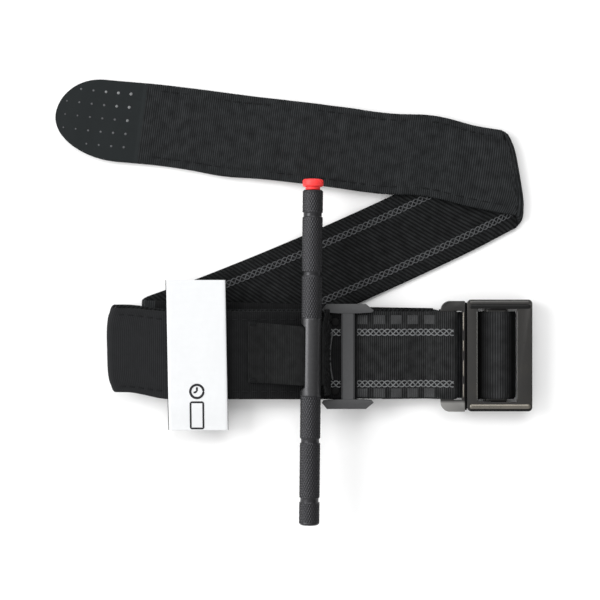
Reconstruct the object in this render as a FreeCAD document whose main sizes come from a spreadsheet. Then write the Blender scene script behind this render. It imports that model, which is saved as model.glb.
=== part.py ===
import FreeCAD, Part
import os
import re

import Sketcher

# Windlass tourniquet laid out flat: a limb loop that runs through a hooked buckle, with its
# free tail folded back above it, and an aluminium windlass rod lying across both.
# Millimetres. X runs along the limb loop towards the buckle, Y across it towards the tail,
# Z up from the surface it lies on. The origin is on that surface, under the middle.

SIZES = {
    # webbing
    "strap_thick": (2.4, "full strap, two plies"),
    "ply": (1.2, "one ply of webbing"),
    "layer_gap": (0.3, "air between stacked runs"),
    "clearance": (0.1, "small clearance between pieces that meet"),
    "loop_width": (37.4, "limb loop, across"),
    "loop_mid_y": (-24.0, "centreline of the limb loop"),
    "fold_bore": (0.15, "inner radius of a flat fold"),
    # limb loop, along X
    "loop_left": (-76.5, "axis of the loop's left fold"),
    "sag_start": (38.0, "where the stack leaves the diagonal run"),
    "sag_end": (58.0, "where the stack is down on the floor"),
    "cover_right": (27.2, "end of the outer cover"),
    "run_right": (61.5, "end of the top run"),
    "under_right": (78.4, "end of the under run and of the return run"),
    "return_yaw": (-1.0, "small skew of the return run, degrees"),
    "return_shift": (1.55, "and its sideways shift"),
    "return_spare": (8.0, "its length past the crease before the cut"),
    # creases where the strap turns over
    "low_crease_x": (-59.5, "middle of the crease at the left"),
    "low_crease_y": (-20.9, ""),
    "low_crease_yaw": (9.75, "degrees from Y"),
    "low_crease_long": (38.0, ""),
    "low_fold_x": (-59.72, "middle of the fold on that crease"),
    "low_fold_y": (-19.62, ""),
    "high_crease_x": (92.1, "middle of the crease at the right"),
    "high_crease_y": (53.3, ""),
    "high_crease_yaw": (9.3, "degrees from Y"),
    "high_crease_long": (36.6, ""),
    "high_fold_x": (92.4, "middle of the fold on that crease"),
    "high_fold_y": (51.47, ""),
    # diagonal run, in its own frame along the chord between the creases
    "diagonal_x": (-59.92, "middle of its start, on the low crease"),
    "diagonal_y": (-18.34, ""),
    "diagonal_long": (167.04, ""),
    "diagonal_half": (18.1, "half its width"),
    "diagonal_start_lean": (4.59, "lean of its end at the low crease"),
    "diagonal_end_lean": (4.74, "lean of its end at the high crease"),
    "diagonal_bend": (1369.0, "radius of its gentle sideways bend"),
    "diagonal_yaw": (24.0, "degrees from X"),
    # tail
    "tail_yaw": (172.3, "degrees from X"),
    "tail_half": (17.6, "half its width"),
    "tail_lean": (5.38, "lean of its end at the crease"),
    "tail_long": (157.3, "crease to the pressed tip"),
    "tip_long": (20.85, "straight part of the pressed tip"),
    "tip_thick": (1.9, "pressed tip"),
    # windlass
    "rod_x": (7.5, ""),
    "rod_y": (-24.45, ""),
    "rod_z": (19.0, "axis of the rod"),
    "rod_yaw": (-0.65, "degrees from Y"),
    "rod_long": (140.5, ""),
    "rod_rad": (4.3, ""),
    "rod_chamfer": (0.6, ""),
    "ring_deep": (0.35, "turned grooves"),
    "ring_wide": (2.2, ""),
    "ring_inner": (35.0, "first groove from the middle"),
    "ring_outer": (59.8, "second groove from the middle"),
    "relief_half": (12.4, "flat for the band, half its length"),
    "relief_at": (2.5, "flat, from the rod's axis"),
    "slot_half": (12.5, "band slot, half its length"),
    "slot_high": (2.2, "band slot"),
    "cap_bore_rad": (2.6, "socket for the end cap"),
    "cap_bore_deep": (8.0, ""),
    "cap_pin_rad": (2.56, ""),
    "cap_pin_long": (7.6, ""),
    "cap_neck_rad": (3.1, ""),
    "cap_neck_long": (1.3, ""),
    "cap_rad": (4.35, ""),
    "cap_long": (4.5, "neck and flange"),
    "cap_chamfer": (0.5, ""),
    # tension band
    "band_left": (-20.6, "stitched end"),
    "band_rise": (-12.0, "where it starts to rise"),
    "band_wide": (27.6, "stitched end"),
    "band_neck": (24.4, "through the rod"),
    "band_down": (17.6, "where it is down again"),
    "band_right": (19.8, ""),
    # stiffener and keeper
    "plate_left": (-24.0, ""),
    "plate_right": (25.0, ""),
    "plate_wide": (31.0, ""),
    "plate_thick": (0.4, ""),
    "keeper_left": (12.2, ""),
    "keeper_right": (34.2, ""),
    "keeper_half": (22.3, "half its width across the strap"),
    "keeper_shift": (0.35, "sits this far off the strap's centreline"),
    "keeper_rail": (4.0, "width of each side rail at the web"),
    "keeper_nose": (2.1, "slanted tip of each rail"),
    "keeper_flare": (1.5, "from the web to where a rail starts to narrow"),
    "keeper_low": (8.4, "underside of the rails"),
    "keeper_top": (13.0, "top of the rails"),
    "web_left": (20.4, ""),
    "web_right": (26.2, ""),
    "web_low": (10.9, ""),
    "web_top": (12.7, ""),
    "web_bevel": (0.7, ""),
    "rivet_x": (17.9, ""),
    "rivet_apart": (29.4, ""),
    "rivet_head": (1.7, "radius"),
    "rivet_shank": (0.9, "radius"),
    "rivet_high": (0.8, "height of the head"),
    # label
    "label_left": (-54.0, ""),
    "label_right": (-27.7, ""),
    "label_top": (8.1, "sewn end"),
    "label_bottom": (-55.8, "free end"),
    "label_inset": (0.6, "white strap inside its backing"),
    "backing_thick": (0.8, ""),
    "label_thick": (1.0, ""),
    # hook plate
    "hook_left": (63.05, ""),
    "hook_bar_right": (68.7, ""),
    "hook_lip_right": (73.4, ""),
    "hook_arm_top": (-0.8, ""),
    "hook_arm_low": (-48.2, ""),
    "hook_slot_top": (-5.1, ""),
    "hook_slot_low": (-43.1, ""),
    "hook_under": (6.9, "underside of the plate"),
    "hook_top": (8.5, ""),
    "hook_low": (5.4, "underside of the hooked lip"),
    "hook_sheet": (1.1, "thickness of the lip"),
    "hook_reach": (78.2, "tip of the hook"),
    "hook_tip_top": (7.2, ""),
    "hook_corner": (4.0, ""),
    # buckle frame
    "frame_left": (74.3, ""),
    "frame_right": (102.05, ""),
    "frame_top": (-0.2, ""),
    "frame_low": (-47.95, ""),
    "window_left": (78.8, ""),
    "window_right": (95.6, ""),
    "window_top": (-4.2, ""),
    "window_low": (-44.0, ""),
    "frame_under": (7.8, ""),
    "frame_over": (9.6, ""),
    "frame_corner": (1.8, ""),
    "cheek_thick": (1.6, "side walls"),
    "cheek_left": (76.2, ""),
    "cheek_low": (1.0, ""),
    "catch_thick": (1.2, "lip caught by the hook"),
    "catch_low": (6.8, ""),
    # slide bar
    "bar_x": (87.05, "centre"),
    "bar_z": (5.4, "centre"),
    "bar_wide": (10.6, ""),
    "bar_high": (4.2, ""),
    "bar_half": (19.8, "half its length between the side walls"),
    "tongue_x": (88.1, "centre"),
    "tongue_wide": (6.4, ""),
    "tongue_high": (3.0, ""),
    "tongue_half": (23.6, "half the length over both tongues"),
    "travel": (2.0, "each way"),
    "bar_loop_wide": (16.3, "strap round the bar, outside"),
    "bar_loop_high": (9.6, ""),
}

doc = FreeCAD.newDocument("tourniquet")
sheet = doc.addObject("Spreadsheet::Sheet", "dims")
for row, (alias, (number, note)) in enumerate(SIZES.items(), start=1):
    sheet.set(f"A{row}", alias)
    sheet.set(f"B{row}", str(number))
    sheet.setAlias(f"B{row}", alias)
    sheet.set(f"C{row}", note)
doc.recompute()

nodes = []


def sized(text):
    """An expression on the sheet's aliases, each written in text without the sheet's name."""
    return re.sub(r"[a-z_]+", r"dims.\g<0>", text)


def bind(item, expressions):
    for path, text in expressions.items():
        item.setExpression(path, sized(text))


def value(text):
    """What such an expression comes to, in millimetres or degrees."""
    return float(sheet.evalExpression(sized(text)))


def node(item, name):
    """Marks a finished piece, which is written to a file of its own."""
    item.Label = name
    nodes.append(item)
    return item


def place(item, x="0", y="0", z="0", yaw=None):
    bind(item, {"Placement.Base.x": x, "Placement.Base.y": y, "Placement.Base.z": z})
    if yaw is not None:
        item.Placement.Rotation = FreeCAD.Rotation(FreeCAD.Vector(0, 0, 1), value(yaw))
    return item


def box(name, low, high):
    """A block from its lowest and highest corners."""
    block = doc.addObject("Part::Box", name)
    sides = ("Length", "Width", "Height")
    bind(block, {side: f"({far}) - ({near})" for side, near, far in zip(sides, low, high)})
    return place(block, *low)


def fused(name, pieces):
    whole = doc.addObject("Part::MultiFuse", name)
    whole.Shapes = pieces
    return whole


def cut(name, base, tool):
    result = doc.addObject("Part::Cut", name)
    result.Base = base
    result.Tool = tool
    return result


def oval_bar(name, wide, high, half, x, y, z):
    """A bar along Y with half-round sides."""
    radius = f"({high}) / 2"
    flat = f"(({wide}) - ({high})) / 2"
    core = box(
        name + "_core",
        (f"{x} - {flat}", f"({y}) - ({half})", f"({z}) - {radius}"),
        (f"{x} + {flat}", f"({y}) + ({half})", f"({z}) + {radius}"),
    )
    sides = []
    for side, sign in (("left", "-"), ("right", "+")):
        round_side = doc.addObject("Part::Cylinder", f"{name}_{side}")
        bind(round_side, {"Radius": radius, "Height": f"2 * ({half})"})
        place(round_side, f"{x} {sign} {flat}", f"({y}) + ({half})", z)
        round_side.Placement.Rotation = FreeCAD.Rotation(FreeCAD.Vector(1, 0, 0), 90)
        sides.append(round_side)
    return fused(name, [core, *sides])


def sketch_on(body, plane, points, bends=None, lift=None):
    """A closed outline through points, each a pair of expressions. bends gives, for the side
    after a point, its radius, and 1 where it bows to the right of its run or -1 to the left."""
    sketch = body.newObject("Sketcher::SketchObject", body.Name + "_outline")
    support = [feature for feature in body.Origin.OriginFeatures if feature.Role == plane][0]
    sketch.AttachmentSupport = [(support, "")]
    sketch.MapMode = "FlatFace"
    if lift is not None:
        bind(sketch, {"AttachmentOffset.Base.z": lift})
    places = [FreeCAD.Vector(value(x), value(y), 0) for x, y in points]
    starts = []
    ends = []
    for k, start in enumerate(places):
        end = places[(k + 1) % len(places)]
        if bends and k in bends:
            radius, side = bends[k]
            half = (end - start) / 2
            across = FreeCAD.Vector(half.y, -half.x, 0).normalize() * side
            rise = value(radius) - (max(value(radius) ** 2 - half.Length**2, 0)) ** 0.5
            middle = start + half + across * rise
            through = (start, middle, end) if side > 0 else (end, middle, start)
            sketch.addGeometry(Part.Arc(*through))
        else:
            sketch.addGeometry(Part.LineSegment(start, end))
        forward = not bends or k not in bends or bends[k][1] > 0
        starts.append(1 if forward else 2)
        ends.append(2 if forward else 1)
    for k in range(len(places)):
        following = (k + 1) % len(places)
        joint = Sketcher.Constraint("Coincident", k, ends[k], following, starts[following])
        sketch.addConstraint(joint)
    for k, (x, y) in enumerate(points):
        for kind, text in (("DistanceX", x), ("DistanceY", y)):
            index = sketch.addConstraint(Sketcher.Constraint(kind, -1, 1, k, starts[k], value(text)))
            bind(sketch, {f"Constraints[{index}]": text})
    for k, (radius, _) in (bends or {}).items():
        index = sketch.addConstraint(Sketcher.Constraint("Radius", k, value(radius)))
        bind(sketch, {f"Constraints[{index}]": radius})
    return sketch


def pad(body, sketch, length, both_ways=False):
    feature = body.newObject("PartDesign::Pad", body.Name + "_pad")
    feature.Profile = sketch
    feature.Midplane = both_ways
    bind(feature, {"Length": length})
    return feature


def strip(name, profile, width, mid_y="loop_mid_y"):
    """A run of strap: its side profile in XZ, padded both ways from its centreline."""
    body = doc.addObject("PartDesign::Body", name)
    pad(body, sketch_on(body, "XZ_Plane", profile), width, both_ways=True)
    return place(body, y=mid_y)


def flat_run(name, points, low, thick, bends=None):
    """A flat run: its plan outline in XY, padded up from its underside."""
    body = doc.addObject("PartDesign::Body", name)
    pad(body, sketch_on(body, "XY_Plane", points, bends, lift=low), thick)
    return body


def turned(name, profile):
    """A turned piece: half its section, with the radius along X and its axis along Y."""
    body = doc.addObject("PartDesign::Body", name)
    sketch = sketch_on(body, "XY_Plane", profile)
    feature = body.newObject("PartDesign::Revolution", name + "_turn")
    feature.Profile = sketch
    feature.ReferenceAxis = (sketch, ["V_Axis"])
    feature.Angle = 360
    return body


def pocket(body, sketch, length):
    """Cuts through the body both ways, and checks that it took material away."""
    doc.recompute()
    before = body.Shape.Volume
    feature = body.newObject("PartDesign::Pocket", body.Name + "_pocket")
    feature.Profile = sketch
    feature.Midplane = True
    bind(feature, {"Length": length})
    doc.recompute()
    if not body.Shape.Volume < before:
        raise RuntimeError(f"{body.Name}: a pocket cut nothing")
    return feature


def dress(body, kind, size, wanted):
    """Rounds or bevels those edges of a body's last feature that wanted picks by their box."""
    doc.recompute()
    base = body.Tip
    edges = [f"Edge{k}" for k, edge in enumerate(base.Shape.Edges, start=1) if wanted(edge.BoundBox)]
    feature = body.newObject(f"PartDesign::{kind}", f"{body.Name}_{kind.lower()}")
    feature.Base = (base, edges)
    bind(feature, {"Radius" if kind == "Fillet" else "Size": size})
    return feature


def half_fold(name, x, y, z, long, yaw, side):
    """A flat fold: half a tube along the crease, outside the runs that it joins."""
    turn = FreeCAD.Rotation(FreeCAD.Vector(0, 0, 1), value(yaw))
    lay = FreeCAD.Rotation(FreeCAD.Vector(1, 0, 0), 90)
    roll = FreeCAD.Rotation(FreeCAD.Vector(0, 0, 1), 90 if side == "left" else -90)
    tubes = []
    for part, radius in (("outside", "strap_thick + layer_gap / 2"), ("bore", "fold_bore")):
        tube = doc.addObject("Part::Cylinder", f"{name}_{part}")
        bind(tube, {"Radius": radius, "Height": long})
        tube.Angle = 180
        half = turn.multVec(FreeCAD.Vector(0, value(long) / 2, 0))
        middle = FreeCAD.Vector(value(x), value(y), value(z))
        tube.Placement = FreeCAD.Placement(middle + half, turn.multiply(lay).multiply(roll))
        tubes.append(tube)
    return cut(name, *tubes)


# Heights of the stacked runs, each one strap and a gap above the one below.
STEP = "(strap_thick + layer_gap)"
RETURN_LOW = STEP
UNDER_LOW = f"2 * {STEP}"
TOP_LOW = f"3 * {STEP}"


def stacked(left, right, low, thick):
    """Profile of a run that lies on the diagonal run, then sags by one strap towards the buckle."""
    top = f"{low} + {thick}"
    return [
        (left, low),
        ("sag_start", low),
        ("sag_end", f"{low} - {STEP}"),
        (right, f"{low} - {STEP}"),
        (right, f"{top} - {STEP}"),
        ("sag_end", f"{top} - {STEP}"),
        ("sag_start", top),
        (left, top),
    ]


def across(half):
    return f"loop_mid_y - ({half})", f"loop_mid_y + ({half})"


# ---- limb loop, from the top of the stack down ----
top_profile = stacked("loop_left", "run_right", TOP_LOW, "ply")
node(strip("grip_webbing", top_profile, "loop_width"), "grip_webbing")

COVER_LOW = f"{TOP_LOW} + ply"
COVER_TOP = f"{TOP_LOW} + strap_thick"
cover_low_y, cover_high_y = across("loop_width / 2")
cover = box(
    "cover_sheet",
    ("loop_left", cover_low_y, COVER_LOW),
    ("cover_right", cover_high_y, COVER_TOP),
)
recess_low_y, recess_high_y = across("plate_wide / 2 + clearance")
recess = box(
    "cover_recess",
    ("plate_left - clearance", recess_low_y, f"{COVER_LOW} - ply"),
    ("plate_right + clearance", recess_high_y, f"{COVER_LOW} + plate_thick + clearance"),
)
node(cut("loop_cover", cover, recess), "loop_cover")

plate_low_y, plate_high_y = across("plate_wide / 2")
node(
    box(
        "stiffener_plate",
        ("plate_left", plate_low_y, f"{COVER_LOW} + clearance / 4"),
        ("plate_right", plate_high_y, f"{COVER_LOW} + clearance / 4 + plate_thick"),
    ),
    "stiffener_plate",
)

node(
    half_fold(
        "left_fold_outer",
        "loop_left",
        "loop_mid_y",
        f"{TOP_LOW} - layer_gap / 2",
        "loop_width",
        "0",
        "left",
    ),
    "left_fold_outer",
)
under_profile = stacked("loop_left", "under_right", UNDER_LOW, "strap_thick")
node(strip("under_run", under_profile, "loop_width"), "under_run")

# The return run is cut off along the crease at its left end.
return_profile = stacked("low_crease_x - return_spare", "under_right", RETURN_LOW, "strap_thick")
return_long = strip("return_long", return_profile, "loop_width")
place(return_long, y="loop_mid_y + return_shift", yaw="return_yaw")
beyond = flat_run(
    "return_waste",
    [
        ("-2 * return_spare", "-loop_width"),
        ("0", "-loop_width"),
        ("0", "loop_width"),
        ("-2 * return_spare", "loop_width"),
    ],
    "0",
    f"2 * {UNDER_LOW}",
)
place(beyond, "low_crease_x", "low_crease_y", yaw="low_crease_yaw")
node(cut("return_run", return_long, beyond), "return_run")

node(
    half_fold(
        "left_fold_lower",
        "low_fold_x",
        "low_fold_y",
        f"{RETURN_LOW} - layer_gap / 2",
        "low_crease_long",
        "low_crease_yaw",
        "left",
    ),
    "left_fold_lower",
)

# ---- diagonal run on the floor ----
diagonal = flat_run(
    "diagonal_run",
    [
        ("-diagonal_start_lean", "-diagonal_half"),
        ("diagonal_long - diagonal_end_lean", "-diagonal_half"),
        ("diagonal_long + diagonal_end_lean", "diagonal_half"),
        ("diagonal_start_lean", "diagonal_half"),
    ],
    "0",
    "strap_thick",
    bends={0: ("diagonal_bend", 1), 2: ("diagonal_bend", -1)},
)
node(place(diagonal, "diagonal_x", "diagonal_y", "0", "diagonal_yaw"), "diagonal_run")

node(
    half_fold(
        "right_fold",
        "high_fold_x",
        "high_fold_y",
        f"{RETURN_LOW} - layer_gap / 2",
        "high_crease_long",
        "high_crease_yaw",
        "right",
    ),
    "right_fold",
)

# ---- tail, folded back over the diagonal run ----
tail = flat_run(
    "tail_run",
    [
        ("tail_lean", "-tail_half"),
        ("tail_long", "-tail_half"),
        ("tail_long", "tail_half"),
        ("-tail_lean", "tail_half"),
    ],
    RETURN_LOW,
    "strap_thick",
)
node(place(tail, "high_crease_x", "high_crease_y", "0", "tail_yaw"), "tail_run")

tip = flat_run(
    "tail_tip",
    [
        ("tail_long", "-tail_half"),
        ("tail_long + tip_long", "-tail_half"),
        ("tail_long + tip_long + tail_half", "0"),
        ("tail_long + tip_long", "tail_half"),
        ("tail_long", "tail_half"),
    ],
    RETURN_LOW,
    "tip_thick",
    bends={1: ("tail_half", 1), 2: ("tail_half", 1)},
)
node(place(tip, "high_crease_x", "high_crease_y", "0", "tail_yaw"), "tail_tip")

# ---- windlass: a turned rod with a slot for the band, and a pressed-in end cap ----
HALF = "rod_long / 2"
profile = [("0", f"-{HALF}"), ("rod_rad - rod_chamfer", f"-{HALF}"), ("rod_rad", f"-{HALF} + rod_chamfer")]
for ring in ("-ring_outer", "-ring_inner", "ring_inner", "ring_outer"):
    profile += [
        ("rod_rad", f"{ring} - ring_wide / 2"),
        ("rod_rad - ring_deep", f"{ring} - ring_wide / 2 + ring_deep"),
        ("rod_rad - ring_deep", f"{ring} + ring_wide / 2 - ring_deep"),
        ("rod_rad", f"{ring} + ring_wide / 2"),
    ]
profile += [
    ("rod_rad", f"{HALF} - rod_chamfer"),
    ("rod_rad - rod_chamfer", HALF),
    ("cap_bore_rad", HALF),
    ("cap_bore_rad", f"{HALF} - cap_bore_deep"),
    ("0", f"{HALF} - cap_bore_deep"),
]
rod = turned("windlass_rod", profile)
RUNOUT = "(rod_rad - relief_at)"
relief = sketch_on(
    rod,
    "XY_Plane",
    [
        ("-rod_rad - 1", f"-relief_half - {RUNOUT} - 1"),
        ("-relief_at", "-relief_half"),
        ("-relief_at", "relief_half"),
        ("-rod_rad - 1", f"relief_half + {RUNOUT} + 1"),
    ],
)
pocket(rod, relief, "4 * rod_rad")
slot = sketch_on(
    rod,
    "YZ_Plane",
    [
        ("-slot_half", "-slot_high / 2"),
        ("slot_half", "-slot_high / 2"),
        ("slot_half", "slot_high / 2"),
        ("-slot_half", "slot_high / 2"),
    ],
)
pocket(rod, slot, "4 * rod_rad")
node(place(rod, "rod_x", "rod_y", "rod_z", "rod_yaw"), "windlass_rod")

cap = turned(
    "windlass_end_cap",
    [
        ("0", f"{HALF} - cap_pin_long"),
        ("cap_pin_rad", f"{HALF} - cap_pin_long"),
        ("cap_pin_rad", HALF),
        ("cap_neck_rad", HALF),
        ("cap_neck_rad", f"{HALF} + cap_neck_long"),
        ("cap_rad - cap_chamfer", f"{HALF} + cap_neck_long"),
        ("cap_rad", f"{HALF} + cap_neck_long + cap_chamfer"),
        ("cap_rad", f"{HALF} + cap_long - cap_chamfer"),
        ("cap_rad - cap_chamfer", f"{HALF} + cap_long"),
        ("0", f"{HALF} + cap_long"),
    ],
)
node(place(cap, "rod_x", "rod_y", "rod_z", "rod_yaw"), "windlass_end_cap")

# ---- tension band: sewn to the cover, up through the rod's slot and down again ----
BAND_LOW = f"{COVER_TOP} + layer_gap"
BAND_TOP = f"{BAND_LOW} + ply"
anchor_low_y, anchor_high_y = across("band_wide / 2")
node(
    box(
        "tension_band_anchor",
        ("band_left", anchor_low_y, BAND_LOW),
        ("band_rise", anchor_high_y, BAND_TOP),
    ),
    "tension_band_anchor",
)
ENTRY = "(rod_x - relief_at - layer_gap)"
node(
    strip(
        "tension_band_left",
        [
            ("band_rise", BAND_LOW),
            (ENTRY, "rod_z - ply / 2"),
            (ENTRY, "rod_z + ply / 2"),
            ("band_rise", BAND_TOP),
        ],
        "band_neck",
    ),
    "tension_band_left",
)
threaded = flat_run(
    "tension_band_slot",
    [
        ("-relief_at + clearance", "-band_neck / 2"),
        ("rod_rad - clearance", "-band_neck / 2"),
        ("rod_rad - clearance", "band_neck / 2"),
        ("-relief_at + clearance", "band_neck / 2"),
    ],
    "-ply / 2",
    "ply",
)
node(place(threaded, "rod_x", "rod_y", "rod_z", "rod_yaw"), "tension_band_slot")
EXIT = "(rod_x + rod_rad + layer_gap)"
node(
    strip(
        "tension_band_right",
        [
            (EXIT, "rod_z - ply / 2"),
            ("band_down", BAND_LOW),
            ("band_right", BAND_LOW),
            ("band_right", BAND_TOP),
            ("band_down + ply / 2", BAND_TOP),
            (EXIT, "rod_z + ply / 2"),
        ],
        "band_neck",
    ),
    "tension_band_right",
)

# ---- keeper: two side rails joined by a bevelled web, over the strap ----
keeper = doc.addObject("PartDesign::Body", "keeper_solid")
web_reach = "keeper_half - keeper_rail / 2"
web = sketch_on(
    keeper,
    "XY_Plane",
    [
        ("web_left", f"-({web_reach})"),
        ("web_right", f"-({web_reach})"),
        ("web_right", web_reach),
        ("web_left", web_reach),
    ],
    lift="web_low",
)
pad(keeper, web, "web_top - web_low")
under_face = value("web_low")
dress(keeper, "Chamfer", "web_bevel", lambda box: box.ZMin > under_face and box.YLength > box.XLength)
for side in ("", "-"):
    rail = sketch_on(
        keeper,
        "XY_Plane",
        [
            ("keeper_left", f"{side}(keeper_half - 1.2 * keeper_nose)"),
            ("keeper_left + keeper_nose", f"{side}keeper_half"),
            ("keeper_right - 1.6 * keeper_nose", f"{side}keeper_half"),
            ("keeper_right", f"{side}(keeper_half - 1.3 * keeper_nose)"),
            ("keeper_right - keeper_nose / 3", f"{side}(keeper_half - keeper_rail + keeper_flare / 4)"),
            ("web_right + keeper_flare", f"{side}(keeper_half - keeper_rail)"),
            ("web_left - keeper_flare", f"{side}(keeper_half - keeper_rail)"),
            ("keeper_left + keeper_nose / 3", f"{side}(keeper_half - keeper_rail + keeper_flare / 3)"),
        ],
        lift="keeper_low",
    )
    pad(keeper, rail, "keeper_top - keeper_low")
place(keeper, y="loop_mid_y - keeper_shift")
# The rails reach over the strap's edges, and their lower halves stand beside it.
channel_low_y, channel_high_y = across("loop_width / 2 + clearance")
channel = box(
    "keeper_channel",
    ("keeper_left - keeper_nose", channel_low_y, "keeper_low - keeper_nose"),
    ("keeper_right + keeper_nose", channel_high_y, f"{COVER_TOP} + clearance"),
)
node(cut("keeper_bracket", keeper, channel), "keeper_bracket")

rivets = []
for label, sign in (("upper", "+"), ("lower", "-")):
    for part, radius, low, high in (
        ("head", "rivet_head", COVER_TOP, f"{COVER_TOP} + rivet_high"),
        ("shank", "rivet_shank", f"{TOP_LOW} + clearance / 2", f"{COVER_TOP} + rivet_high / 2"),
    ):
        pin = doc.addObject("Part::Cylinder", f"rivet_{label}_{part}")
        bind(pin, {"Radius": radius, "Height": f"({high}) - ({low})"})
        rivets.append(place(pin, "rivet_x", f"loop_mid_y - keeper_shift {sign} rivet_apart / 2", low))
node(fused("keeper_rivets", rivets), "keeper_rivets")

# ---- label: a white strap sewn along its top end over a dark backing ----
backing_top = f"{BAND_LOW} + backing_thick"
node(
    box(
        "label_backing",
        ("label_left", "label_bottom", BAND_LOW),
        ("label_right", "label_top", backing_top),
    ),
    "label_backing",
)
label_low = f"{backing_top} + layer_gap"
node(
    box(
        "label_strap",
        ("label_left + label_inset", "label_bottom", label_low),
        ("label_right", "label_top", f"{label_low} + label_thick"),
    ),
    "label_strap",
)

# ---- hook plate: a bar in the strap's end loop, two arms, and a hooked lip ----
hook_outline = flat_run(
    "hook_outline",
    [
        ("hook_left", "hook_arm_low"),
        ("hook_lip_right", "hook_arm_low"),
        ("hook_lip_right", "hook_arm_top"),
        ("hook_left", "hook_arm_top"),
    ],
    "hook_under",
    "hook_top - hook_under",
)
bar_side = value("hook_left + clearance")
dress(hook_outline, "Fillet", "hook_corner", lambda box: box.ZLength > 1 and box.XMax < bar_side)
lip_left = "(hook_lip_right - hook_sheet)"
hook_opening = box(
    "hook_opening",
    ("hook_bar_right", "hook_slot_low", "hook_low"),
    (lip_left, "hook_slot_top", "hook_top + ply"),
)
hook_sheet = cut("hook_sheet_cut", hook_outline, hook_opening)
hook_lip = box(
    "hook_lip",
    (lip_left, "hook_slot_low", "hook_low"),
    ("hook_lip_right", "hook_slot_top", "hook_under + clearance"),
)
hook_floor = box(
    "hook_floor",
    (lip_left, "hook_slot_low", "hook_low"),
    ("hook_reach", "hook_slot_top", "hook_low + hook_sheet"),
)
hook_tip = box(
    "hook_tip",
    ("hook_reach - hook_sheet", "hook_slot_low", "hook_low"),
    ("hook_reach", "hook_slot_top", "hook_tip_top"),
)
node(fused("hook_plate", [hook_sheet, hook_lip, hook_floor, hook_tip]), "hook_plate")

hook_loop = oval_bar(
    "hook_loop_outside",
    "hook_bar_right - hook_left + 2 * (layer_gap + ply)",
    "hook_top - hook_under + 2 * layer_gap + 2 * ply",
    "loop_width / 2",
    "(hook_left + hook_bar_right) / 2",
    "loop_mid_y",
    "(hook_top + hook_under) / 2",
)
hook_loop_bore = box(
    "hook_loop_bore",
    ("hook_left - layer_gap", "loop_mid_y - loop_width", "hook_under - layer_gap"),
    ("hook_bar_right + layer_gap", "loop_mid_y + loop_width", "hook_top + layer_gap"),
)
node(cut("hook_end_loop", hook_loop, hook_loop_bore), "hook_end_loop")

# ---- buckle frame: a ring plate with two side walls and a catch for the hook ----
frame_outline = flat_run(
    "frame_outline",
    [
        ("frame_left", "frame_low"),
        ("frame_right", "frame_low"),
        ("frame_right", "frame_top"),
        ("frame_left", "frame_top"),
    ],
    "frame_under",
    "frame_over - frame_under",
)
dress(frame_outline, "Fillet", "frame_corner", lambda box: box.ZLength > 1)
window = box(
    "frame_window",
    ("window_left", "window_low", "catch_low"),
    ("window_right", "window_top", "frame_over + ply"),
)
frame_ring = cut("frame_ring", frame_outline, window)
catch = box(
    "frame_catch",
    ("frame_left", "hook_slot_low + catch_thick", "catch_low"),
    ("frame_left + catch_thick", "hook_slot_top - catch_thick", "frame_under + clearance"),
)
track = "(tongue_wide / 2 + travel + 3 * clearance)"
cheeks = []
for label, low_y, high_y in (
    ("upper", "frame_top - cheek_thick", "frame_top"),
    ("lower", "frame_low", "frame_low + cheek_thick"),
):
    wall = box(
        f"cheek_{label}",
        ("cheek_left", low_y, "cheek_low"),
        ("frame_right - frame_corner", high_y, "frame_under + clearance"),
    )
    opening = box(
        f"cheek_{label}_slot",
        (f"tongue_x - {track}", f"{low_y} - cheek_thick", "bar_z - tongue_high / 2 - 2 * clearance"),
        (f"tongue_x + {track}", f"{high_y} + cheek_thick", "bar_z + tongue_high / 2 + 2 * clearance"),
    )
    cheeks.append(cut(f"cheek_{label}_cut", wall, opening))
node(fused("buckle_frame", [frame_ring, catch, *cheeks]), "buckle_frame")

# ---- slide bar with flat tongues, and the strap round it ----
bar_y = "loop_mid_y - clearance"
bar = oval_bar("bar_core", "bar_wide", "bar_high", "bar_half", "bar_x", bar_y, "bar_z")
tongue = box(
    "bar_tongues",
    ("tongue_x - tongue_wide / 2", f"{bar_y} - tongue_half", "bar_z - tongue_high / 2"),
    ("tongue_x + tongue_wide / 2", f"{bar_y} + tongue_half", "bar_z + tongue_high / 2"),
)
node(fused("slide_bar", [bar, tongue]), "slide_bar")

loop_outside = oval_bar(
    "bar_loop_outside", "bar_loop_wide", "bar_loop_high", "loop_width / 2", "bar_x", "loop_mid_y", "bar_z"
)
loop_inside = oval_bar(
    "bar_loop_inside",
    "bar_wide + 2 * layer_gap",
    "bar_high + 2 * layer_gap",
    "loop_width",
    "bar_x",
    "loop_mid_y",
    "bar_z",
)
node(cut("bar_loop", loop_outside, loop_inside), "bar_loop")

# ---- check and write ----
doc.recompute()
for item in doc.Objects:
    if "Invalid" in item.State or "Error" in item.State:
        raise RuntimeError(f"{item.Label} failed: {item.State}")
os.makedirs("parts", exist_ok=True)
whole = FreeCAD.BoundBox()
for item in nodes:
    if item.Shape.isNull() or not item.Shape.isValid():
        raise RuntimeError(f"{item.Label} has no valid shape")
    item.Shape.exportStep(f"parts/{item.Label}.step")
    whole.add(item.Shape.BoundBox)
    print(f"{item.Label}: {item.Shape.Volume:.1f} mm3, {len(item.Shape.Solids)} solid(s)")
print("box", whole)
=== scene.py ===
import math
from collections import namedtuple

import bmesh
import bpy
from mathutils import Matrix, Vector, noise


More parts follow.
